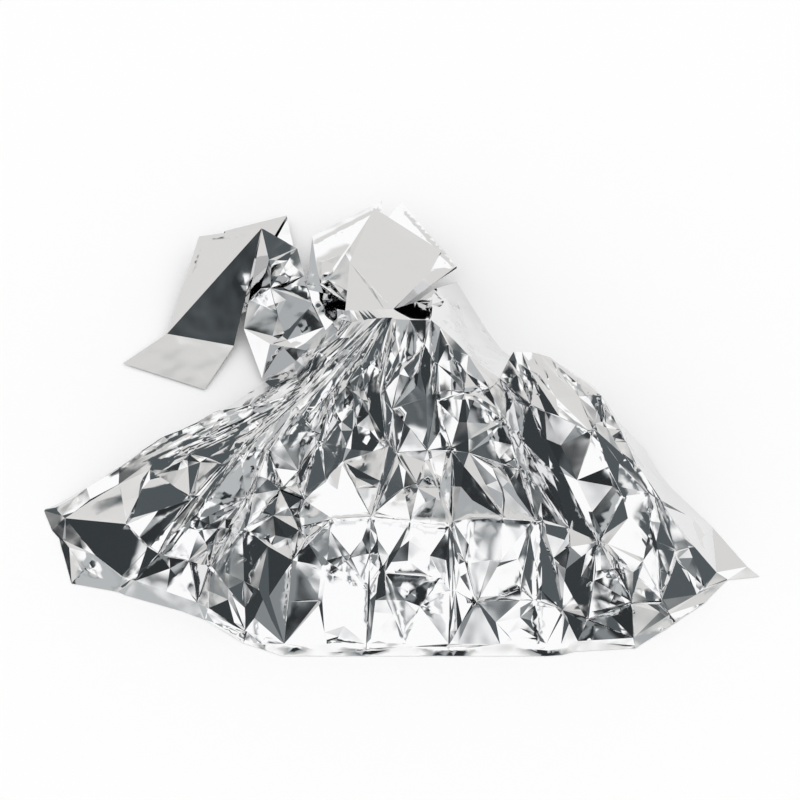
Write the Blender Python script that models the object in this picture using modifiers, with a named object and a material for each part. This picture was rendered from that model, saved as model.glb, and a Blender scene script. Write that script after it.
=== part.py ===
"""Emergency foil blanket, laid down half unfolded.

One sheet of metallised film, folded double along its length. Its last rows of
panels are fanned out on the surface and rise in ridges to a gather; from there
the rest lies behind as a ribbon one panel wide, still pleated back and forth.
Sizes in the tables are millimetres: X to the right, Y to the back, Z up.
"""
from collections import namedtuple

import bmesh
import bpy
from mathutils import Vector

# Driving dimensions.
MM = 0.001
SHEET_THICKNESS = 1.5 * MM
FOLD_GAP = 3.0 * MM
LEFT_EDGE, RIGHT_EDGE = -353.4, 349.0
FRONT_EDGE, REAR_EDGE = 0.0, 585.1
MIDDLE = Vector(((LEFT_EDGE + RIGHT_EDGE) / 2, (FRONT_EDGE + REAR_EDGE) / 2, 0.0))
FILM_COLOUR = (0.80, 0.81, 0.82, 1.0)
FILM_ROUGHNESS = 0.08
MERGE_DISTANCE = 0.05 * MM

# A radial fold of the fan: the hem, the line where the hem strip lifts, the
# crossings with the folds that run round the fan, the gather, and the foot
# behind it. The first twelve feet are the root of the pleated ribbon.
Fold = namedtuple("Fold", "name hem turn knee first second third top foot")
FOLDS = (
    Fold("behind_left", (-352, 176, 0), (-341, 182, 0), (-315, 195, 0),
         (-281, 221, 0), (-238, 254, 0), (-108, 354, 20), (-64, 373, 66), (-64, 380, 72)),
    Fold("left_rim", (-353, 174, 0), (-341, 176, 3), (-314, 192, 11),
         (-279, 210, 23), (-234, 238, 38), (-100, 275, 73), (-48, 336, 100), (-55, 349, 103)),
    Fold("left_band", (-343, 150, 0), (-334, 164, 5), (-279, 192, 22),
         (-247, 199, 34), (-210, 209, 45), (-97, 271, 74), (-42, 336, 102), (-51, 349, 103)),
    Fold("left_star", (-335, 140, 0), (-330, 160, 6), (-265, 131, 34),
         (-204, 153, 49), (-174, 188, 57), (-96, 268, 75), (-36, 335, 104), (-46, 349, 103)),
    Fold("left_slope", (-318, 85, 0), (-297, 115, 5), (-253, 122, 26),
         (-199, 155, 48), (-171, 188, 57), (-95, 264, 76), (-31, 336, 105), (-42, 350, 103)),
    Fold("left_ridge", (-272, 75, 0), (-269, 92, 2), (-242, 113, 20),
         (-195, 156, 48), (-168, 187, 58), (-94, 262, 76), (-27, 335, 106), (-38, 350, 103)),
    Fold("left_lane", (-265, 71, 0), (-256, 86, 3), (-229, 102, 25),
         (-189, 148, 51), (-157, 196, 61), (-98, 253, 77), (-23, 335, 107), (-33, 350, 103)),
    Fold("left_panel", (-209, 52, 0), (-194, 60, 3), (-204, 98, 20),
         (-149, 152, 50), (-133, 202, 64), (-101, 242, 76), (-20, 334, 108), (-29, 350, 103)),
    Fold("left_knot", (-187, 42, 0), (-184, 54, 2), (-181, 82, 30),
         (-142, 146, 62), (-129, 193, 72), (-98, 230, 84), (-17, 334, 109), (-24, 350, 103)),
    Fold("mid_left", (-149, 15, 0), (-147, 26, 3), (-152, 119, 38),
         (-117, 159, 52), (-99, 175, 62), (-68, 256, 86), (-14, 334, 109), (-20, 350, 103)),
    Fold("panel_1", (-111, 0, 0), (-110, 14, 0), (-102, 80, 44),
         (-92, 139, 62), (-77, 194, 80), (-54, 253, 95), (-11, 333, 110), (-16, 351, 103)),
    Fold("panel_1_middle", (-71, 0, 0), (-71, 14, 0), (-74, 50, 19),
         (-65, 117, 61), (-56, 188, 61), (-37, 247, 84), (-8, 333, 110), (-11, 351, 103)),
    Fold("panel_2", (-32, 0, 0), (-32, 14, 0), (-31, 58, 25),
         (-28, 119, 62), (-11, 195, 76), (-19, 246, 90), (-4, 330, 111), (-7, 351, 103)),
    Fold("panel_2_middle", (7, 0, 0), (7, 14, 0), (5, 50, 20),
         (10, 115, 60), (-3, 193, 67), (-7, 234, 86), (10, 328, 112), (17, 388, 74)),
    Fold("panel_3", (46, 0, 0), (46, 14, 0), (47, 58, 25),
         (47, 109, 58), (27, 198, 66), (25, 300, 105), (26, 328, 112), (34, 424, 54)),
    Fold("panel_3_dart", (55, 0, 0), (55, 14, 0), (53, 58, 25),
         (51, 116, 58), (51, 196, 65), (35, 245, 86), (31, 328, 112), (61, 486, 0)),
    Fold("panel_4_middle", (95, 0, 0), (95, 14, 0), (73, 48, 20),
         (99, 120, 58), (67, 188, 74), (64, 250, 92), (40, 319, 110), (76, 452, 0)),
    Fold("panel_4", (139, 0, 0), (139, 14, 0), (127, 52, 18),
         (131, 120, 52), (103, 225, 80), (89, 255, 90), (68, 294, 98), (92, 418, 0)),
    Fold("valley", (153, 1, 0), (153, 14, 0), (155, 46, 10),
         (164, 123, 38), (119, 211, 66), (112, 254, 75), (99, 276, 83), (107, 388, 0)),
    Fold("right_1", (165, 5, 0), (169, 17, 0), (179, 33, 15),
         (192, 102, 42), (146, 175, 66), (130, 237, 85), (114, 302, 92), (128, 366, 0)),
    Fold("right_2", (223, 9, 0), (222, 21, 0), (219, 47, 20),
         (199, 101, 42), (171, 158, 69), (142, 230, 87), (122, 301, 93), (137, 362, 0)),
    Fold("right_3", (264, 39, 0), (258, 47, 1), (248, 56, 12),
         (240, 151, 58), (185, 201, 87), (153, 243, 92), (131, 301, 94), (146, 359, 0)),
    Fold("right_4", (293, 62, 0), (286, 71, 1), (263, 103, 26),
         (248, 152, 48), (207, 195, 70), (176, 251, 84), (141, 302, 93), (156, 355, 0)),
    Fold("right_rim", (317, 89, 0), (307, 96, 3), (285, 111, 24),
         (253, 151, 44), (230, 182, 58), (198, 256, 78), (151, 303, 90), (167, 351, 0)),
    Fold("behind_right", (349, 93, 0), (338, 105, 0), (308, 154, 0),
         (272, 202, 0), (252, 235, 0), (227, 285, 0), (180, 346, 0), (176, 352, 0)),
)
STATIONS = Fold._fields[1:]

# A crease of the pleated ribbon, from its left side to its right side: there
# the next flap goes on, turns back under the last one, or turns back over it.
# The next flap is bent along the diagonal that starts at the named side.
Crease = namedtuple("Crease", "name next_flap bend left right")
CREASES = (
    Crease("root", "on", "right", (-55, 349, 103), (-7, 351, 103)),
    Crease("kite_shoulder", "on", "right", (-52, 431, 88), (31, 419, 86)),
    Crease("kite_end", "under", "left", (-28, 531, 66), (43, 459, 74)),
    Crease("kite_return", "under", "left", (-75, 440, 50), (-10, 392, 50)),
    Crease("right_flap_end", "under", "left", (2, 561, 45), (60, 470, 40)),
    Crease("right_flap_return", "under", "left", (-85, 455, 28), (-25, 400, 30)),
    Crease("left_flap_end", "under", "left", (-95, 530, 24), (-20, 584, 24)),
    Crease("left_flap_return", "on", "left", (-100, 470, 6), (-35, 450, 6)),
    Crease("low_flap_near", "over", "left", (-143, 344, 4), (-67, 381, 4)),
    Crease("low_flap_far", "on", "left", (-164, 405, 15), (-93, 440, 17)),
    Crease("crumpled_flap_end", "under", "left", (-149, 535, 31), (-110, 500, 36)),
    Crease("crumpled_flap_return", "under", "left", (-170, 430, 10), (-102, 455, 11)),
    Crease("rear_flap_end", "over", "left", (-191, 553, 9), (-124, 577, 9)),
    Crease("rear_flap_return", "over", "left", (-225, 450, 9), (-172, 450, 19)),
    Crease("dark_flap_end", "over", "right", (-217, 530, 24), (-147, 509, 58)),
    Crease("last_flap_hinge", "on", "left", (-245, 405, 7), (-174, 388, 7)),
    Crease("last_flap_end", "on", "left", (-289, 368, 2), (-202, 332, 2)),
)
ROOT_FOLDS = 12


def millimetres(point):
    """A table's point, in metres, about the middle of the blanket's outline."""
    return (Vector(point) - MIDDLE) * MM


def draped_grid(mesh, rows):
    """Lay a flat grid of panels over the rows of points, and give its corners."""
    columns = len(rows[0])
    grid = bmesh.ops.create_grid(mesh, x_segments=columns - 1, y_segments=len(rows) - 1)
    places = [point for row in rows for point in row]
    for corner, place in zip(grid["verts"], places):
        corner.co = place
    return grid["verts"]


def fan_rows():
    """Rows of the fan, from the hem to the foot, each across all the folds."""
    return [[millimetres(getattr(fold, station)) for fold in FOLDS] for station in STATIONS]


def root_row():
    """Evenly spaced points of the ribbon's root, one for each fold that runs into it."""
    left = millimetres(CREASES[0].left)
    right = millimetres(CREASES[0].right)
    steps = ROOT_FOLDS - 1
    return [left.lerp(right, step / steps) for step in range(ROOT_FOLDS)]


def draped_ribbon(mesh):
    """The pleated ribbon: flaps one panel wide, each bent along its diagonal."""
    drop = {"on": 0.0, "under": FOLD_GAP, "over": -FOLD_GAP}
    rows = []
    bends = []
    for crease in CREASES:
        half_turn = Vector((0.0, 0.0, drop[crease.next_flap] / 2))
        sides = [millimetres(crease.left), millimetres(crease.right)]
        rows.append([side + half_turn for side in sides])
        if crease.next_flap != "on":
            rows.append([side - half_turn for side in sides])
            bends.append("left")
        bends.append(crease.bend)
    corners = draped_grid(mesh, rows)
    for row, bend in enumerate(bends[:-1]):
        left, right, next_left, next_right = corners[2 * row:2 * row + 4]
        diagonal = {"left": [left, next_right], "right": [right, next_left]}[bend]
        bmesh.ops.connect_verts(mesh, verts=diagonal)
    root = [edge for edge in corners[0].link_edges if corners[1] in edge.verts]
    bmesh.ops.subdivide_edges(mesh, edges=root, cuts=ROOT_FOLDS - 2)


def film_material():
    """Mirror-bright metallised polyester film."""
    material = bpy.data.materials.new("metallised_film")
    material.use_nodes = True
    surface = material.node_tree.nodes["Principled BSDF"]
    surface.inputs["Base Color"].default_value = FILM_COLOUR
    surface.inputs["Metallic"].default_value = 1.0
    surface.inputs["Roughness"].default_value = FILM_ROUGHNESS
    return material


def foil_sheet(collection):
    """The whole sheet: fan and ribbon joined at the root, then thickened."""
    fan = fan_rows()
    fan[-1][1:ROOT_FOLDS + 1] = root_row()
    sheet = bmesh.new()
    draped_grid(sheet, fan)
    draped_ribbon(sheet)
    bmesh.ops.remove_doubles(sheet, verts=sheet.verts, dist=MERGE_DISTANCE)
    bmesh.ops.triangulate(sheet, faces=sheet.faces, quad_method="SHORT_EDGE")
    mesh = bpy.data.meshes.new("foil_blanket")
    sheet.to_mesh(mesh)
    sheet.free()
    mesh.materials.append(film_material())
    blanket = bpy.data.objects.new("foil_blanket", mesh)
    collection.objects.link(blanket)
    thickness = blanket.modifiers.new("thickness", "SOLIDIFY")
    thickness.thickness = SHEET_THICKNESS
    thickness.offset = 1.0
    return blanket


for old in list(bpy.data.objects):
    bpy.data.objects.remove(old, do_unlink=True)
blanket_parts = bpy.data.collections.new("emergency_foil_blanket")
bpy.context.scene.collection.children.link(blanket_parts)
foil_sheet(blanket_parts)
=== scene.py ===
import math
import random
from collections import namedtuple

import bmesh
import bpy
import numpy as np
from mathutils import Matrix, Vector
from mathutils.bvhtree import BVHTree


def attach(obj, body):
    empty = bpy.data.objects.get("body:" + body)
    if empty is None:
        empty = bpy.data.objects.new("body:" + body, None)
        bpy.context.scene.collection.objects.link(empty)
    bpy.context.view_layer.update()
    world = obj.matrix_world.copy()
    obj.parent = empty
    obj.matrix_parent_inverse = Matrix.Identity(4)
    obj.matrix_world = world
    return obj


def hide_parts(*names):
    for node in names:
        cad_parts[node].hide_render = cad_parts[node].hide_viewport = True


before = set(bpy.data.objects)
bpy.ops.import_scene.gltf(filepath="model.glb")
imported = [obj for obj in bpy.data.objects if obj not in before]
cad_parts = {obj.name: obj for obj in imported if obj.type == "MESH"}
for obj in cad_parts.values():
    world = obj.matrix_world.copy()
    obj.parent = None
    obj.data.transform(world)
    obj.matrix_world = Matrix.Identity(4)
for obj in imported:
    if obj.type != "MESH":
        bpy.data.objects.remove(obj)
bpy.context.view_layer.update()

MM = 0.001


# ---------------------------------------------------------------- camera
# A long lens looks down on the blanket from the hem's side, high enough to see
# both the panels along the hem and the flaps behind the gather.

CAMERA_ELEVATION = math.radians(50.0)
CAMERA_DISTANCE = 2.4
CAMERA_TARGET = Vector((2.2, -42.5, 40.0)) * MM
LENS_MM = 108.0
SENSOR_MM = 36.0
FRAMING_SHIFT = 0.033

camera_data = bpy.data.cameras.new("camera")
camera_data.lens = LENS_MM
camera_data.sensor_width = SENSOR_MM
camera_data.shift_y = FRAMING_SHIFT
camera = bpy.data.objects.new("camera", camera_data)
bpy.context.scene.collection.objects.link(camera)
towards_camera = Vector((0.0, -math.cos(CAMERA_ELEVATION), math.sin(CAMERA_ELEVATION)))
camera.location = CAMERA_TARGET + towards_camera * CAMERA_DISTANCE
camera.rotation_euler = (-towards_camera).to_track_quat("-Z", "Y").to_euler()
bpy.context.scene.camera = camera


# ---------------------------------------------------------------- studio
# A pale floor in an evenly lit room. The film is a mirror, so its tones are
# those of the room: a pale backdrop all round, a dark ceiling, and lamps and
# screens that stand about the blanket.

FLOOR_WIDTH = 12.0
FLOOR_DROP = 0.2 * MM
FLOOR_HEX = "F9F9F9"
FLOOR_ROUGHNESS = 0.9
ROOM_LIGHT = 1.05


def linear(hex_colour):
    """The linear colour of an sRGB hex value."""
    channels = [int(hex_colour[i:i + 2], 16) / 255 for i in (0, 2, 4)]
    return [c / 12.92 if c <= 0.04045 else ((c + 0.055) / 1.055) ** 2.4 for c in channels] + [1.0]


def add_node(tree, kind, settings=None, **links):
    """Adds a node; a link's value is a number, a colour or another node's output."""
    node = tree.nodes.new(kind)
    for name, value in (settings or {}).items():
        setattr(node, name, value)
    for name, value in links.items():
        socket = node.inputs[int(name[1:])] if name[1:].isdigit() else node.inputs[name.replace("_", " ")]
        if isinstance(value, bpy.types.NodeSocket):
            tree.links.new(value, socket)
        else:
            socket.default_value = value
    return node


floor_shape = bmesh.new()
bmesh.ops.create_grid(floor_shape, x_segments=1, y_segments=1, size=FLOOR_WIDTH / 2)
bmesh.ops.translate(floor_shape, verts=floor_shape.verts, vec=(0, 0, -FLOOR_DROP))
floor_mesh = bpy.data.meshes.new("floor")
floor_shape.to_mesh(floor_mesh)
floor_shape.free()
floor = bpy.data.objects.new("floor", floor_mesh)
bpy.context.scene.collection.objects.link(floor)
# Matte white paint: no shine, so the blanket has only its own soft shadow on it.
floor_paint = bpy.data.materials.new("matte_white_paint")
floor_paint.use_nodes = True
floor_surface = floor_paint.node_tree.nodes["Principled BSDF"]
floor_surface.inputs["Base Color"].default_value = linear(FLOOR_HEX)
floor_surface.inputs["Roughness"].default_value = FLOOR_ROUGHNESS
floor_surface.inputs["Specular IOR Level"].default_value = 0.0
floor_mesh.materials.append(floor_paint)

# What the room shows in a mirror, by degrees above the horizon.
Band = namedtuple("Band", "elevation hex_colour")
ROOM_BANDS = (
    Band(-5, "F6F6F6"),
    Band(4, "F6F5F3"),
    Band(20, "EDECEA"),
    Band(57, "E8E7E4"),
    Band(62, "B0B5B6"),
    Band(67, "747B7E"),
    Band(78, "34383A"),
    Band(90, "2D3032"),
)
# Round patches of light or dark in the room, in degrees as seen from the blanket:
# azimuth 0 is the hem's side, and the edge fades out over the softness.
Patch = namedtuple("Patch", "name azimuth elevation radius softness hex_colour strength")
ROOM_PATCHES = (
    Patch("camera_side", 0, 34, 40, 16, "8D9294", 1.0),
    Patch("camera_stand", -14, 26, 11, 10, "303435", 1.0),
    Patch("camera_arm", 22, 46, 6, 7, "2D3032", 1.0),
    Patch("left_wall", -88, 28, 26, 13, "3A3F42", 1.0),
    Patch("right_wall", 98, 32, 21, 15, "596063", 1.0),
    Patch("grey_panel", 150, 70, 8, 4, "B8BBBD", 1.0),
    Patch("grey_curtain", -150, 72, 7, 4, "C6C9CA", 1.0),
    Patch("left_rear_screen", -149, 37, 11, 4, "565D60", 1.0),
    Patch("rear_lamp", 180, 49, 6, 4, "FFFFFF", 1.2),
    Patch("rear_dark_panel", 174, 67, 4, 2, "2D3032", 1.0),
    Patch("soft_box", 0, 69, 9, 8, "FFFFFF", 1.2),
    Patch("top_lamp", 45, 79, 6, 7, "FFFFFF", 1.2),
    Patch("front_lamp", -8, 49, 4, 6, "FFFFFF", 1.2),
    Patch("left_lamp", -62, 60, 7, 7, "FFFFFF", 1.2),
    Patch("left_low_lamp", -48, 38, 5, 6, "FFFFFF", 1.2),
    Patch("right_lamp", 62, 58, 7, 7, "FFFFFF", 1.2),
    Patch("right_low_lamp", 44, 30, 5, 7, "FFFFFF", 1.2),
    Patch("left_rear_lamp", -125, 62, 5, 6, "FFFFFF", 1.2),
    Patch("right_rear_lamp", 118, 62, 5, 6, "FFFFFF", 1.2),
)

world = bpy.data.worlds.new("studio")
world.use_nodes = True
bpy.context.scene.world = world
room = world.node_tree
room.nodes.clear()
direction = add_node(room, "ShaderNodeTexCoord").outputs["Generated"]
height = add_node(room, "ShaderNodeSeparateXYZ", Vector=direction).outputs["Z"]
angle = add_node(room, "ShaderNodeMath", {"operation": "ARCSINE"}, _0=height).outputs[0]
place = add_node(room, "ShaderNodeMapRange", Value=angle,
                 From_Min=-math.pi / 2, From_Max=math.pi / 2).outputs[0]
ramp = add_node(room, "ShaderNodeValToRGB", Fac=place)
stops = ramp.color_ramp.elements
while len(stops) < len(ROOM_BANDS):
    stops.new(0.5)
for stop, band in zip(stops, ROOM_BANDS):
    stop.position = (band.elevation + 90) / 180
    stop.color = linear(band.hex_colour)
seen = ramp.outputs["Color"]
for patch in ROOM_PATCHES:
    azimuth, elevation = math.radians(patch.azimuth), math.radians(patch.elevation)
    middle = Vector((math.sin(azimuth) * math.cos(elevation),
                     -math.cos(azimuth) * math.cos(elevation), math.sin(elevation)))
    nearness = add_node(room, "ShaderNodeVectorMath", {"operation": "DOT_PRODUCT"},
                        _0=direction, _1=middle).outputs["Value"]
    edge = math.cos(math.radians(patch.radius + patch.softness))
    inside = math.cos(math.radians(patch.radius))
    mask = add_node(room, "ShaderNodeMapRange", {"interpolation_type": "SMOOTHSTEP"},
                    Value=nearness, From_Min=edge, From_Max=inside).outputs[0]
    colour = [c * patch.strength for c in linear(patch.hex_colour)[:3]] + [1.0]
    mix = add_node(room, "ShaderNodeMix", {"data_type": "RGBA"}, _0=mask, _6=seen, _7=colour)
    seen = mix.outputs[2]
mirrored = add_node(room, "ShaderNodeBackground", Color=seen, Strength=1.0).outputs[0]
even = add_node(room, "ShaderNodeBackground", Color=linear("FFFFFF"), Strength=ROOM_LIGHT).outputs[0]
glossy = add_node(room, "ShaderNodeLightPath").outputs["Is Glossy Ray"]
both = add_node(room, "ShaderNodeMixShader", _0=glossy, _1=even, _2=mirrored).outputs[0]
add_node(room, "ShaderNodeOutputWorld", Surface=both)
bpy.context.scene.view_settings.view_transform = "Standard"


# ---------------------------------------------------------------- film
# One sheet of polyester film, 12 micrometres thick, with aluminium laid on it
# in a vacuum. It was folded into panels for its pack, and it lies half unfolded:
# the fold lines of the panels stay, and every pull on them buckles the film.

SOLID_THICKNESS = 1.5 * MM
# Thicker than the real film, so that it has two sides.
FILM_THICKNESS = 0.3 * MM

# The film is the underside of the solid: the rim faces, which are as wide as the
# solid is thick, come off, and the skin that reaches lowest stays.
RIM_TOLERANCE = 0.02 * MM
WELD = 0.01 * MM

film = bmesh.new()
film.from_mesh(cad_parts["foil_blanket"].data)
bmesh.ops.remove_doubles(film, verts=film.verts, dist=WELD)
rim = [face for face in film.faces
       if any(abs(edge.calc_length() - SOLID_THICKNESS) < RIM_TOLERANCE for edge in face.edges)]
bmesh.ops.delete(film, geom=rim, context="FACES")


def connected(start):
    """The faces joined to a face."""
    found = {start}
    waiting = [start]
    while waiting:
        for edge in waiting.pop().edges:
            fresh = [face for face in edge.link_faces if face not in found]
            found.update(fresh)
            waiting.extend(fresh)
    return found


underside = connected(min(film.faces, key=lambda face: max(corner.co.z for corner in face.verts)))
bmesh.ops.delete(film, geom=[face for face in film.faces if face not in underside], context="FACES")
bmesh.ops.reverse_faces(film, faces=film.faces)


def shorten_edges(longest, rounds):
    """Halves the film's longer edges, round after round."""
    for halving in range(rounds):
        long_edges = [edge for edge in film.edges if edge.calc_length() > longest]
        bmesh.ops.subdivide_edges(film, edges=long_edges, cuts=1)
        bmesh.ops.triangulate(film, faces=[face for face in film.faces if len(face.verts) > 3])


# Creases are placed where an eye in front of the blanket, or behind it, sees
# them: in millimetres across and down a square frame, 800 mm a side, that faces
# the eye.
FRAME_MIDDLE = (400.0, 426.3)
FRONT, BACK = -1, 1
Eye = namedtuple("Eye", "place towards across up skin")


def eye_at(side):
    """An eye at the front or the back, and the film's skin as it sees it now."""
    towards = Vector((0.0, side * math.cos(CAMERA_ELEVATION), math.sin(CAMERA_ELEVATION)))
    across = Vector((-side, 0.0, 0.0))
    return Eye(CAMERA_TARGET + towards * CAMERA_DISTANCE, towards, across, across.cross(-towards),
               BVHTree.FromBMesh(film))


def on_film(eye, across, down):
    """Where the line of sight through a place of the frame meets the film, and the normal there."""
    place = CAMERA_TARGET + (eye.across * (across - FRAME_MIDDLE[0])
                             + eye.up * (FRAME_MIDDLE[1] - down)) * MM
    point, normal = eye.skin.ray_cast(eye.place, (place - eye.place).normalized())[:2]
    if point is not None and normal.dot(eye.towards) < 0:
        normal = -normal
    return point, normal


def in_frame(eye, place):
    """A place's millimetres across and down the frame."""
    sight = place - eye.place
    scale = CAMERA_DISTANCE / sight.dot(-eye.towards) / MM
    return Vector((FRAME_MIDDLE[0] + sight.dot(eye.across) * scale,
                   FRAME_MIDDLE[1] - sight.dot(eye.up) * scale))


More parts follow.
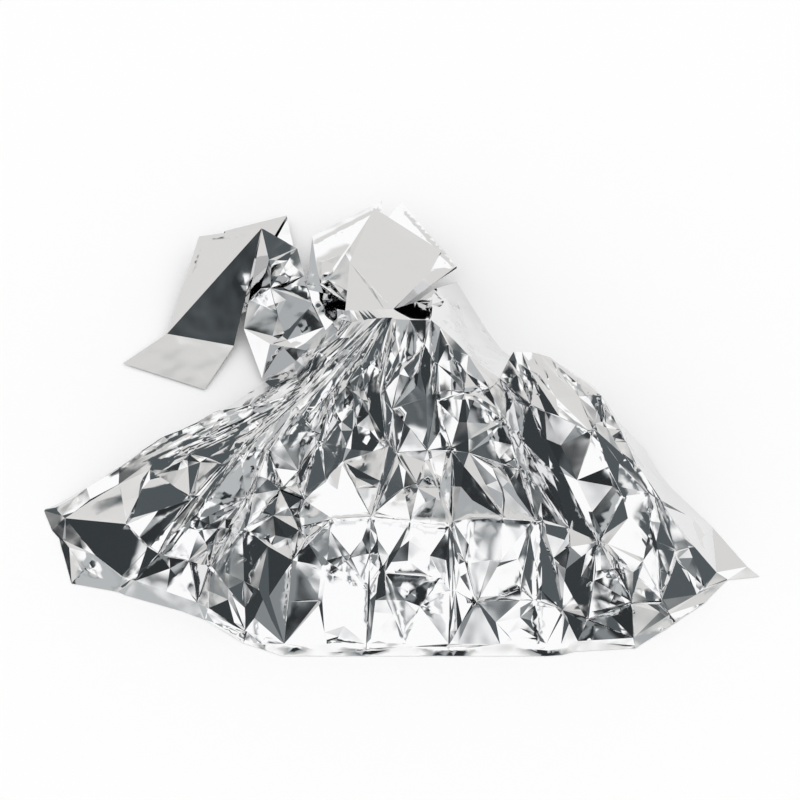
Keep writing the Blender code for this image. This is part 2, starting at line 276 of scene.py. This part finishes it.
# The main creases, which bound the large flat facets. Each is a chain of points
# (across, down, lift), the lift in millimetres out of the panel or, if it is
# negative, into it.
MAIN_CREASES = (
    # Upper left: the edges of the long strips that run to the gather.
    ((118, 468, 1), (165, 438, 2), (250, 406, 2), (290, 393, 1)),
    ((150, 480, 0), (200, 462, -1), (262, 424, -1), (292, 404, 0)),
    # Left wing: the star near the rim, the dark hollow below it and its stripes.
    ((127, 523, 1.5), (140, 498, 3), (150, 470, 0)),
    ((127, 523, 1.5), (122, 500, -2), (118, 483, 0)),
    ((66, 517, 0), (92, 500, -2), (118, 483, -2), (150, 462, 0)),
    ((57, 512, 0), (88, 490, 3), (118, 468, 2), (140, 455, 0)),
    ((54, 528, 0), (70, 549, 2), (84, 574, 0)),
    ((150, 470, 0), (172, 484, -3), (190, 497, 0)),
    ((165, 470, 0), (185, 462, 3), (205, 440, 0)),
    ((190, 497, -4), (150, 548, 8), (121, 577, 0)),
    ((127, 523, 1.5), (150, 548, 8), (161, 555, 4)),
    ((161, 555, 4), (150, 566, 2), (136, 580, 0)),
    ((161, 555, 4), (180, 580, 3), (200, 604, 0)),
    ((161, 555, 4), (186, 560, -2), (211, 567, 4)),
    ((161, 555, 4), (172, 538, 3), (190, 520, 0)),
    ((211, 567, 4), (210, 590, 3), (209, 608, 0)),
    ((211, 567, 4), (228, 590, 5), (245, 608, 0)),
    ((211, 567, 4), (226, 548, 3), (243, 530, 4), (262, 510, 3), (280, 490, 4)),
    ((211, 567, 3), (206, 545, -2), (200, 520, 0)),
    ((200, 520, 0), (225, 508, 3), (250, 495, 0)),
    ((200, 531, 0), (225, 514, -3), (251, 499, 0)),
    ((215, 545, 0), (232, 527, 3), (250, 515, 0)),
    ((209, 608, 0), (236, 622, 3), (262, 645, 0)),
    ((207, 618, 0), (232, 634, -3), (258, 645, 0)),
    # Between the left ridges and the first panel of the hem.
    ((254, 474, 0), (266, 480, 3), (280, 490, 4), (297, 485, 0)),
    ((280, 490, 4), (276, 470, 3), (268, 452, 4)),
    ((268, 452, 4), (284, 430, 3), (298, 411, 4), (325, 380, 0)),
    ((298, 411, 4), (300, 440, -3), (299, 474, 0)),
    ((299, 474, 3), (310, 458, 3), (321, 444, 4), (336, 400, 3), (352, 355, 0)),
    ((321, 444, 4), (312, 430, -3), (300, 411, 0)),
    ((280, 490, 4), (292, 515, -3), (306, 539, 4)),
    ((306, 539, 4), (300, 515, 3), (304, 495, 4), (299, 474, 0)),
    ((306, 539, 4), (290, 537, -3), (275, 535, 0)),
    ((306, 539, 4), (298, 552, 3), (293, 560, 0)),
    ((293, 560, 0), (312, 538, -3), (332, 519, 0), (371, 516, 0)),
    ((243, 530, 4), (262, 536, -3), (290, 560, 0)),
    ((283, 657, 0), (272, 620, 3), (262, 590, 8)),
    ((304, 495, 2), (325, 478, 3), (345, 463, 0)),
    ((345, 463, 2), (358, 490, 3), (371, 516, 0)),
    ((321, 444, 3), (350, 448, -3), (386, 441, 3)),
    ((343, 461, 0), (355, 476, -2), (374, 486, 0)),
    # First row of panels along the hem.
    ((306, 539, 2.5), (322, 566, -2), (318, 600, -1.5), (326, 640, 0)),
    ((330, 530, 0), (342, 556, 2), (362, 578, 0)),
    ((362, 540, 0), (348, 560, -2), (330, 572, 0)),
    ((344, 626, 0), (334, 645, -2), (316, 650, 0)),
    ((366, 656, 0), (370, 600, 2.5), (369, 560, -2), (371, 517, 0)),
    ((378, 540, 0), (379, 570, -2.5), (374, 612, 0)),
    ((385, 573, 3.5), (400, 548, 2), (420, 532, 0)),
    ((385, 573, 3.5), (412, 574, 2), (440, 578, 0)),
    ((385, 573, 3.5), (386, 600, 2.5), (403, 636, 0)),
    ((440, 578, 0), (420, 606, -2.5), (403, 636, 0)),
    ((385, 573, 3.5), (378, 550, 2), (376, 530, 0)),
    ((449, 656, 0), (451, 610, 2), (446, 560, -2), (449, 527, 0)),
    ((452, 528, 0), (458, 552, -2.5), (460, 575, 0)),
    ((471, 518, 2), (469, 545, 2.5), (468, 570, 2), (477, 602, 5)),
    ((477, 602, 5), (498, 596, 2), (520, 588, 2.5)),
    ((477, 602, 5), (462, 622, 2), (452, 640, 0)),
    ((477, 602, 5), (496, 622, -2), (512, 640, 0)),
    ((477, 602, 2.5), (500, 562, -2.5), (531, 523, 0)),
    ((520, 588, 2.5), (526, 556, 2.5), (531, 523, 0)),
    ((520, 588, 2.5), (520, 608, 2), (520, 628, 0)),
    ((536, 600, 0), (531, 620, -2.5), (537, 640, 0)),
    ((547, 657, 0), (541, 600, 2.5), (541, 521, 0)),
    # Second row of panels.
    ((374, 515, 0), (390, 482, 3), (397, 452, 0)),
    ((397, 452, 2), (424, 460, -3), (451, 450, 0)),
    ((404, 468, 0), (418, 490, 3), (440, 500, 0), (449, 527, 0)),
    ((386, 500, 0), (404, 486, -3), (424, 478, 0)),
    ((452, 450, 4), (452, 519, 0)),
    ((452, 450, 4), (503, 517, 0)),
    ((452, 450, 4), (470, 440, 3), (490, 424, 0)),
    ((452, 450, 4), (440, 432, 3), (430, 430, 0)),
    ((469, 453, 0), (492, 470, 4), (505, 500, 0)),
    ((505, 420, 0), (515, 460, 4), (536, 523, 0)),
    ((490, 440, 0), (502, 462, -3), (514, 488, 0)),
    # Third row, up to the gather.
    ((381, 397, 0), (404, 370, 4), (425, 345, 0)),
    ((427, 322, 0), (420, 366, -4), (393, 409, 0)),
    ((393, 323, 0), (400, 362, -3), (381, 397, 0)),
    ((393, 409, 0), (410, 430, 4), (428, 450, 0)),
    ((392, 410, 0), (394, 430, -3), (396, 455, 0)),
    ((430, 318, 0), (434, 370, 4), (440, 432, 0)),
    ((393, 323, 0), (392, 345, 4), (386, 380, 3), (386, 441, 0)),
    ((360, 360, 0), (366, 390, -4), (370, 430, 0)),
    ((348, 372, 0), (352, 400, 3), (360, 440, 0)),
    ((330, 400, 0), (338, 418, -3), (345, 440, 0)),
    ((440, 330, 0), (456, 366, 4), (470, 410, 0)),
    ((452, 350, 0), (476, 384, -4), (500, 410, 0)),
    ((446, 400, 0), (468, 400, 3), (496, 384, 0)),
    # Right wing: the long curved facet, its dark strips and the rim.
    ((507, 356, 0), (524, 390, 3), (532, 407, 4), (560, 466, 2), (600, 543, 5)),
    ((532, 407, 4), (590, 433, 6), (622, 462, 6), (648, 492, 0), (656, 550, 3), (659, 602, 4)),
    ((590, 433, 6), (622, 497, 3), (600, 543, 5)),
    ((600, 543, 5), (596, 556, 3), (592, 590, 0), (587, 619, 3)),
    ((600, 543, 5), (616, 562, 3), (630, 604, 4)),
    ((601, 570, 0), (614, 568, -3), (628, 565, 0)),
    ((541, 521, 3), (556, 560, -4), (572, 596, -2), (587, 619, 3)),
    ((552, 530, 0), (572, 548, 4), (593, 556, 0)),
    ((548, 600, 0), (564, 618, 3), (570, 654, 0)),
    ((587, 619, 3), (612, 616, -3), (630, 604, 4), (635, 648, 0)),
    ((630, 604, 4), (644, 560, -4), (652, 520, -3), (648, 492, 0)),
    ((630, 604, 4), (646, 604, 3), (659, 602, 4), (676, 622, 0)),
    ((659, 602, 4), (668, 580, 3), (672, 552, 4), (664, 510, 2)),
    ((672, 552, 4), (688, 570, -3), (704, 589, 3), (727, 579, 0)),
    ((600, 397, 0), (620, 436, 4), (632, 462, 2), (660, 502, 2), (684, 540, 3), (704, 589, 3)),
    ((550, 354, 0), (576, 384, 3), (604, 420, -3), (622, 462, 6)),
    ((507, 356, 0), (530, 372, 3), (560, 419, 5)),
    ((604, 420, -3), (612, 436, 0), (636, 450, 0)),
    # Flaps of the ribbon.
    ((262, 230, 0), (270, 262, 4), (262, 290, 3), (242, 322, 0)),
    ((262, 290, 3), (284, 286, -4), (308, 300, 0)),
    ((270, 262, 3), (288, 262, 3), (300, 252, 0)),
    ((250, 300, 0), (266, 306, -3), (286, 300, 0)),
    ((242, 322, 0), (270, 346, 4), (262, 378, 0)),
    ((312, 305, 0), (282, 334, -4), (270, 346, 0)),
    ((270, 346, 3), (296, 350, 3), (328, 330, 0)),
    ((308, 273, 0), (322, 264, 3), (350, 252, 0)),
    ((312, 290, 0), (328, 282, -4), (341, 300, 0)),
    ((350, 262, 0), (372, 290, 2), (393, 309, 0)),
    ((431, 318, 0), (452, 330, -3), (503, 353, 0)),
    ((437, 300, 0), (456, 304, -3), (480, 322, 0)),
)
FIRST_EDGE = 60.0 * MM
CUT_CLEARANCE = 0.05 * MM
CORNER_CLEARANCE = 0.1 * MM
# No corner is set within this share of an edge's length from its ends.
EDGE_MARGIN = 0.02
# How far apart two places of one crease, and of one layer of film, may lie.
ON_CREASE = 0.4
SAME_LAYER = 0.5 * MM


def with_parts(faces):
    """Faces with their edges and corners, each of them once."""
    return [*faces, *dict.fromkeys(edge for face in faces for edge in face.edges),
            *dict.fromkeys(corner for face in faces for corner in face.verts)]


def score(eye, first, second):
    """Cuts a straight crease into the faces that show along it, with a corner at each end."""
    start, end = on_film(eye, *first)[0], on_film(eye, *second)[0]
    if start is None or end is None:
        return
    film.faces.ensure_lookup_table()
    tree = BVHTree.FromBMesh(film)
    steps = max(4, int((Vector(second) - Vector(first)).length / 2))
    struck = {}
    for step in range(steps + 1):
        place = start.lerp(end, step / steps)
        face = tree.ray_cast(eye.place, (place - eye.place).normalized())[2]
        if face is not None:
            struck[face] = film.faces[face]
    bmesh.ops.bisect_plane(film, geom=with_parts(list(struck.values())), dist=CUT_CLEARANCE,
                           plane_co=start,
                           plane_no=(start - eye.place).cross(end - start).normalized())
    for place in (start, end):
        for edge in film.edges:
            along = edge.verts[1].co - edge.verts[0].co
            share = (place - edge.verts[0].co).dot(along) / max(along.length_squared, 1e-12)
            if not EDGE_MARGIN < share < 1 - EDGE_MARGIN:
                continue
            if (edge.verts[0].co + along * share - place).length < CORNER_CLEARANCE:
                bmesh.utils.edge_split(edge, edge.verts[0], share)
                break
    bmesh.ops.triangulate(film, faces=[face for face in film.faces if len(face.verts) > 3])


front = eye_at(FRONT)
shorten_edges(FIRST_EDGE, 2)
for points in MAIN_CREASES:
    for first, second in zip(points, points[1:]):
        score(front, first[:2], second[:2])
lifts = {}
for corner in film.verts:
    place = in_frame(front, corner.co)
    point, normal = on_film(front, *place)
    if point is None or (point - corner.co).length > SAME_LAYER:
        continue
    strongest = 0.0
    for points in MAIN_CREASES:
        for first, second in zip(points, points[1:]):
            start, along = Vector(first[:2]), Vector(second[:2]) - Vector(first[:2])
            share = min(max((place - start).dot(along) / along.length_squared, 0.0), 1.0)
            lift = first[2] + (second[2] - first[2]) * share
            if (start + along * share - place).length < ON_CREASE and abs(lift) > abs(strongest):
                strongest = lift
    lifts[corner] = normal * strongest * MM
for corner, lift in lifts.items():
    corner.co += lift

# The smaller folds. The film falls away from each on both sides over its reach.
Crease = namedtuple("Crease", "reach points")
# The pack's own fold lines, which stay as hairlines through every crumple: the
# lines that run up from the hem, then the lines that cross them, then the frames
# of the flaps and the buckles along the hem strip.
FOLD_LINES = (
    Crease(4, ((57, 512, 0), (120, 468, 0.9), (165, 437, 0.9), (250, 405, 0.9), (290, 392, 0.9),
               (350, 350, 0.9), (388, 317, 0))),
    Crease(4, ((64, 519, 0.7), (127, 525, 0.9), (190, 496, 0.9), (290, 395, 0.7), (388, 318, 0))),
    Crease(4, ((119, 591, 0.7), (165, 548, 0.9), (200, 500, 0.9), (240, 450, 0.9), (265, 420, 0.9),
               (295, 400, 0.7), (350, 352, 0))),
    Crease(4, ((125, 583, -0.7), (171, 550, -0.9), (206, 502, -0.9), (246, 452, -0.7))),
    Crease(4, ((209, 608, 0.7), (211, 567, 0.9), (252, 492, 0.9), (254, 474, 0.9), (268, 452, 0.9),
               (298, 411, 0.9), (350, 352, 0))),
    Crease(4, ((262, 645, 0.7), (243, 530, 0.7), (254, 492, 0.6))),
    Crease(4, ((283, 657, 0.4), (286, 620, 0.9), (293, 560, 0.9), (306, 539, 0.9), (304, 495, 0.9),
               (299, 474, 0.9), (321, 444, 0.9), (338, 373, 0.7), (388, 319, 0))),
    Crease(4, ((366, 656, 0.4), (367, 620, -1), (370, 560, -1), (371, 517, 0.9), (386, 441, 0.9),
               (380, 396, 0.9), (388, 319, 0))),
    Crease(4, ((449, 656, 0.4), (450, 620, -1), (449, 560, -1), (449, 527, 0.9), (452, 450, 0.9),
               (440, 432, 0.9), (430, 319, 0))),
    Crease(4, ((547, 657, 0.4), (538, 640, 0.9), (536, 580, 1), (541, 521, 0.9), (505, 420, 0.9),
               (506, 393, 0.9), (430, 319, 0))),
    Crease(4, ((570, 654, 0.4), (587, 619, 0.9), (593, 556, 0.9), (600, 543, 0.9), (550, 468, 0.9),
               (532, 407, 0.9), (507, 357, 0))),
    Crease(4, ((635, 648, 0.4), (630, 604, 0.9), (618, 562, 0.7), (600, 543, 0.6))),
    Crease(4, ((676, 622, 0.4), (659, 602, 0.9), (648, 493, 0.9), (590, 434, 0.9), (543, 393, 0.7),
               (507, 357, 0))),
    Crease(4, ((727, 579, 0), (704, 589, 0.7), (660, 502, 0.9), (640, 470, 0.9), (627, 462, 0.7),
               (600, 399, 0))),
    Crease(4, ((293, 560, 0), (332, 519, 0.9), (371, 517, 0.9), (410, 523, 0.7), (449, 527, 0.9),
               (471, 518, 0.7), (541, 521, 0.9), (600, 543, 0.9), (630, 604, 0.6))),
    Crease(4, ((190, 496, 0.6), (211, 567, -0.7), (243, 530, 0.6), (280, 490, 0.7), (299, 474, 0.7),
               (321, 444, 0.9), (386, 441, 0.9), (397, 452, 0.6), (452, 450, 0.9), (505, 420, 0.7))),
    Crease(3, ((161, 555, 0.6), (185, 557, -0.7), (211, 567, 0.6))),
    Crease(3, ((268, 452, 0.7), (280, 490, 0.7), (306, 539, 0.7))),
    Crease(3, ((452, 450, 0.7), (478, 484, 0.6), (503, 517, 0.6))),
    Crease(3, ((471, 518, 0.6), (468, 570, 0.7), (477, 602, 0.7), (520, 588, 0.7), (531, 523, 0.6))),
    Crease(3, ((385, 573, 0.7), (440, 578, 0.6), (403, 636, 0.6), (385, 573, 0.7))),
    Crease(3, ((590, 434, 0.7), (623, 497, 0.7), (600, 540, 0.6))),
    Crease(3, ((165, 318, 0), (200, 329, -0.7), (234, 346, 0))),
    Crease(6, ((216, 619, 0), (240, 632, 0.7), (266, 640, -0.5), (292, 648, 0.7), (326, 645, -0.4),
               (364, 650, 0.8), (398, 646, -0.3), (452, 651, 0.8), (500, 646, -0.4), (548, 651, 0.8),
               (590, 645, -0.4), (634, 648, 0))),
    Crease(6, ((76, 590, 0), (98, 594, 0.7), (122, 598, -0.5), (150, 607, 0.7), (182, 611, -0.4),
               (206, 620, 0))),
    Crease(6, ((646, 638, 0), (664, 629, 0.7), (680, 618, -0.5), (702, 604, 0.7), (722, 588, 0))),
    Crease(3, ((198, 240, 0), (226, 236, 0.6), (256, 236, 0))),
    Crease(3, ((203, 240, 0), (188, 276, 0.6), (172, 312, 0))),
    Crease(3, ((128, 360, 0), (148, 338, 0.6), (168, 322, 0))),
    Crease(2.4, ((318, 244, 0.4), (350, 227, 0.5), (380, 211, 0.4))),
    Crease(2.4, ((403, 214, 0.4), (426, 240, 0.5), (450, 267, 0.4))),
    Crease(3, ((462, 288, 0), (484, 318, 0.6), (505, 350, 0))),
    Crease(3, ((640, 440, 0), (690, 500, 0.6), (745, 570, 0))),
)
# Pleats: fine creases side by side, between a first line and a last one, each
# with its crest a little nearer to its start.
PLEAT_CREST = 0.45
Pleats = namedtuple("Pleats", "count first_start first_end last_start last_end reach lift")
PLEATS = (
    Pleats(8, (118, 466), (290, 390), (150, 478), (300, 402), 5, 0.8),
    Pleats(8, (205, 430), (330, 362), (190, 494), (300, 410), 6, 0.9),
    Pleats(7, (200, 500), (262, 420), (252, 474), (298, 400), 6, 1.0),
    Pleats(12, (296, 392), (372, 322), (380, 396), (392, 324), 6, 1.6),
    Pleats(6, (385, 380), (396, 322), (432, 400), (430, 322), 7, 1.2),
    Pleats(8, (508, 392), (507, 358), (600, 398), (550, 356), 7, 1.8),
    Pleats(6, (600, 400), (560, 360), (650, 470), (606, 402), 7, 1.6),
    Pleats(5, (441, 440), (436, 330), (500, 420), (480, 350), 8, 1.6),
    Pleats(6, (268, 452), (330, 372), (320, 444), (350, 362), 7, 1.8),
)


def pleated(rows):
    """The creases of some pleats, raised and lowered by turns."""
    creases = []
    for pleats in rows:
        for number in range(pleats.count):
            share = number / (pleats.count - 1)
            start = Vector(pleats.first_start).lerp(Vector(pleats.last_start), share)
            end = Vector(pleats.first_end).lerp(Vector(pleats.last_end), share)
            middle = start.lerp(end, PLEAT_CREST)
            lift = pleats.lift * (1 if number % 2 else -1)
            creases.append(Crease(pleats.reach, ((*start, 0), (*middle, lift), (*end, 0))))
    return creases


# Crumpled places: small random creases within a circle, which lie about one
# direction in degrees and stray from it by the spread in radians.
Crumple = namedtuple("Crumple", "across down radius count length lift lie spread")
CRUMPLES = (
    Crumple(345, 572, 22, 7, 26, 1.4, 60, 1.6),
    Crumple(418, 586, 26, 7, 28, 1.3, 80, 1.6),
    Crumple(412, 486, 28, 6, 30, 1.2, 40, 1.6),
    Crumple(505, 420, 26, 6, 40, 1.3, 60, 0.6),
    Crumple(340, 430, 42, 12, 44, 1.4, 110, 0.6),
    Crumple(250, 500, 70, 18, 50, 1.6, 130, 0.6),
    Crumple(200, 560, 40, 7, 40, 1.6, 150, 1.0),
    Crumple(80, 560, 25, 5, 26, 1.6, 60, 1.6),
    Crumple(230, 440, 50, 14, 60, 0.9, 150, 0.3),
    Crumple(528, 470, 30, 10, 50, 1.4, 65, 0.4),
    Crumple(545, 380, 22, 7, 36, 1.4, 50, 0.6),
    Crumple(610, 600, 36, 9, 30, 1.4, 60, 1.6),
    Crumple(570, 620, 24, 5, 30, 1.2, 60, 1.6),
    Crumple(672, 520, 36, 8, 40, 1.6, 60, 0.8),
    Crumple(275, 280, 30, 12, 26, 1.6, 60, 1.6),
    Crumple(285, 345, 30, 5, 26, 1.2, 30, 1.6),
    Crumple(325, 285, 22, 8, 20, 1.6, 60, 1.6),
)
HAIRLINE_REACH = 5.0
HAIRLINE_LIFT = 0.4
chance = random.Random(7)


def crumpled(places):
    """Random creases of crumpled places: every other one is only a hairline."""
    creases = []
    for crumple in places:
        for number in range(crumple.count):
            distance = crumple.radius * math.sqrt(chance.random())
            turn = chance.uniform(0, 2 * math.pi)
            across = crumple.across + distance * math.cos(turn)
            down = crumple.down + distance * math.sin(turn)
            lie = math.radians(crumple.lie) + chance.uniform(-crumple.spread, crumple.spread)
            half = crumple.length * chance.uniform(0.3, 0.8)
            lift = crumple.lift * chance.choice((-1, 1)) * chance.uniform(0.4, 1.3)
            bend = lie + chance.uniform(-0.3, 0.3)
            reach = half * chance.uniform(0.45, 0.8)
            if number % 2:
                reach, lift = HAIRLINE_REACH, HAIRLINE_LIFT * lift
            start = (across + half * math.cos(lie), down + half * math.sin(lie), 0)
            end = (across - half * math.cos(bend), down - half * math.sin(bend), 0)
            creases.append(Crease(reach, (start, (across, down, lift), end)))
    return creases


CUT_EDGE = 22.0 * MM
FINE_EDGE = 7.0 * MM
# A crease cuts the faces whose middles lie this far past its ends, or nearer.
CUT_MARGIN = CUT_EDGE * 0.3
FOLD_CLEARANCE = 0.15 * MM
SHORTEST_CREASE = 0.5 * MM
# Creases with less reach than this are also cut along both their feet.
NARROW = 6.0
# Where creases cross, the strongest wins: the higher this is, the more nearly.
SHARPNESS = 6.0
Pull = namedtuple("Pull", "start end start_lift end_lift reach direction")


def fold_film(eye, creases, fall, rounds):
    """Cuts every crease into the film as an edge, then pulls it out of the panel."""
    pulls = []
    for crease in creases:
        for first, second in zip(crease.points, crease.points[1:]):
            start, start_normal = on_film(eye, *first[:2])
            end, end_normal = on_film(eye, *second[:2])
            if start is None or end is None or (start - end).length < SHORTEST_CREASE:
                continue
            middle, half_length = (start + end) / 2, (start - end).length / 2
            direction = (start_normal + end_normal).normalized()
            pulls.append(Pull(start, end, first[2] * MM, second[2] * MM, crease.reach * MM, direction))
            across_crease = (start - eye.place).cross(end - start).normalized()
            shifts = (0.0, crease.reach * MM, -crease.reach * MM) if crease.reach < NARROW else (0.0,)
            near = [face for face in film.faces
                    if (face.calc_center_median() - middle).length < half_length + CUT_MARGIN]
            for shift in shifts:
                cut = bmesh.ops.bisect_plane(film, geom=with_parts(near), dist=FOLD_CLEARANCE,
                                             plane_co=start + across_crease * shift,
                                             plane_no=across_crease)
                near = [part for part in cut["geom"] if isinstance(part, bmesh.types.BMFace)]
    bmesh.ops.triangulate(film, faces=film.faces)
    shorten_edges(FINE_EDGE, rounds)
    places = np.array([corner.co for corner in film.verts])
    raised, lowered = np.zeros(len(places)), np.zeros(len(places))
    leaning = np.zeros_like(places)
    for pull in pulls:
        along = np.array(pull.end - pull.start)
        offset = places - np.array(pull.start)
        share = np.clip(offset @ along / (along @ along), 0.0, 1.0)
        distance = np.linalg.norm(offset - share[:, None] * along, axis=1)
        lift = pull.start_lift + (pull.end_lift - pull.start_lift) * share
        lift = lift * np.clip(1.0 - distance / pull.reach, 0.0, 1.0) ** fall / MM
        raised += np.clip(lift, 0.0, None) ** SHARPNESS
        lowered += np.clip(-lift, 0.0, None) ** SHARPNESS
        leaning += np.abs(lift)[:, None] * np.array(pull.direction)
    height = (raised ** (1 / SHARPNESS) - lowered ** (1 / SHARPNESS)) * MM
    leaning /= np.maximum(np.linalg.norm(leaning, axis=1), 1e-9)[:, None]
    for corner, place in zip(film.verts, places + height[:, None] * leaning):
        corner.co = place


# The slopes behind the ridges are creased as the back eye sees them.
BACK_CREASES = (
    Crease(30, ((196, 392, 0), (206, 436, 6), (222, 486, 4), (238, 520, 0))),
    Crease(28, ((236, 398, 0), (244, 446, -6), (252, 500, -4), (266, 540, 0))),
    Crease(30, ((276, 404, 0), (284, 458, 6), (292, 520, 5), (300, 560, 0))),
    Crease(28, ((318, 408, 0), (318, 470, -6), (326, 540, -4), (336, 590, 0))),
    Crease(24, ((352, 412, 0), (350, 470, 5), (352, 540, 4), (350, 600, 0))),
    Crease(26, ((180, 440, 0), (214, 458, 4), (246, 452, -3), (290, 476, 5), (330, 480, 0))),
    Crease(26, ((216, 508, 0), (252, 500, 4), (292, 524, -4), (332, 540, 0))),
    Crease(26, ((150, 400, 0), (160, 430, 5), (176, 462, 0))),
    Crease(28, ((452, 410, 0), (480, 440, 6), (500, 480, 0))),
    Crease(28, ((500, 404, 0), (530, 430, -6), (548, 462, 0))),
    Crease(28, ((560, 404, 0), (582, 424, 6), (600, 446, 0))),
    Crease(24, ((470, 450, 0), (520, 446, 4), (590, 420, 0))),
)
BACK_CRUMPLES = (
    Crumple(200, 470, 55, 12, 56, 2.4, 70, 0.9),
    Crumple(300, 520, 60, 12, 60, 2.4, 80, 0.7),
    Crumple(120, 425, 40, 8, 40, 2.0, 60, 0.9),
    Crumple(540, 440, 70, 14, 56, 2.4, 110, 0.9),
    Crumple(640, 420, 40, 8, 40, 2.0, 120, 0.9),
)
BACK_PLEATS = (
    Pleats(9, (300, 400), (262, 560), (396, 420), (340, 600), 7, 2.0),
    Pleats(6, (150, 405), (110, 450), (250, 400), (200, 520), 7, 2.0),
    Pleats(6, (500, 400), (480, 500), (620, 410), (600, 480), 7, 2.0),
)

front_folds = [*FOLD_LINES, *pleated(PLEATS), *crumpled(CRUMPLES)]
back_folds = [*BACK_CREASES, *pleated(BACK_PLEATS), *crumpled(BACK_CRUMPLES)]
shorten_edges(CUT_EDGE, 5)
fold_film(eye_at(BACK), back_folds, fall=1.0, rounds=0)
fold_film(eye_at(FRONT), front_folds, fall=1.2, rounds=1)

# The floor stops whatever would buckle below it, and film this thin keeps a
# hard line at every bend.
SHARP_ANGLE = math.radians(5.0)
for corner in film.verts:
    corner.co.z = max(corner.co.z, 0.0)
for edge in film.edges:
    edge.smooth = edge.calc_face_angle(math.pi) < SHARP_ANGLE
for face in film.faces:
    face.smooth = True

film_mesh = bpy.data.meshes.new("film_sheet")
film.to_mesh(film_mesh)
film.free()
sheet = bpy.data.objects.new("film_sheet", film_mesh)
bpy.context.scene.collection.objects.link(sheet)

# Vacuum-metallised polyester: aluminium on smooth plastic, a clear bright mirror
# with hardly any haze. The film is never quite flat, so what it mirrors bends
# over about the width of a thumb.
FILM_HEX = "E8E8E9"
FILM_ROUGHNESS = 0.06
WAVE_LENGTH = 30.0 * MM
WAVE_HEIGHT = 0.55 * MM

film_finish = bpy.data.materials.new("vacuum_metallised_polyester")
film_finish.use_nodes = True
film_surface = film_finish.node_tree.nodes["Principled BSDF"]
film_surface.inputs["Base Color"].default_value = linear(FILM_HEX)
film_surface.inputs["Metallic"].default_value = 1.0
film_surface.inputs["Roughness"].default_value = FILM_ROUGHNESS
mirror = film_finish.node_tree
point = add_node(mirror, "ShaderNodeTexCoord").outputs["Object"]
waves = add_node(mirror, "ShaderNodeTexNoise", Vector=point, Scale=1 / WAVE_LENGTH,
                 Detail=1.0, Roughness=0.4)
bend = add_node(mirror, "ShaderNodeBump", Height=waves.outputs["Fac"], Strength=1.0, Distance=WAVE_HEIGHT)
mirror.links.new(bend.outputs["Normal"], film_surface.inputs["Normal"])
film_mesh.materials.clear()
film_mesh.materials.append(film_finish)
thickness = sheet.modifiers.new("film", "SOLIDIFY")
thickness.thickness = FILM_THICKNESS
thickness.offset = 1.0

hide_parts("foil_blanket")
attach(sheet, "root")
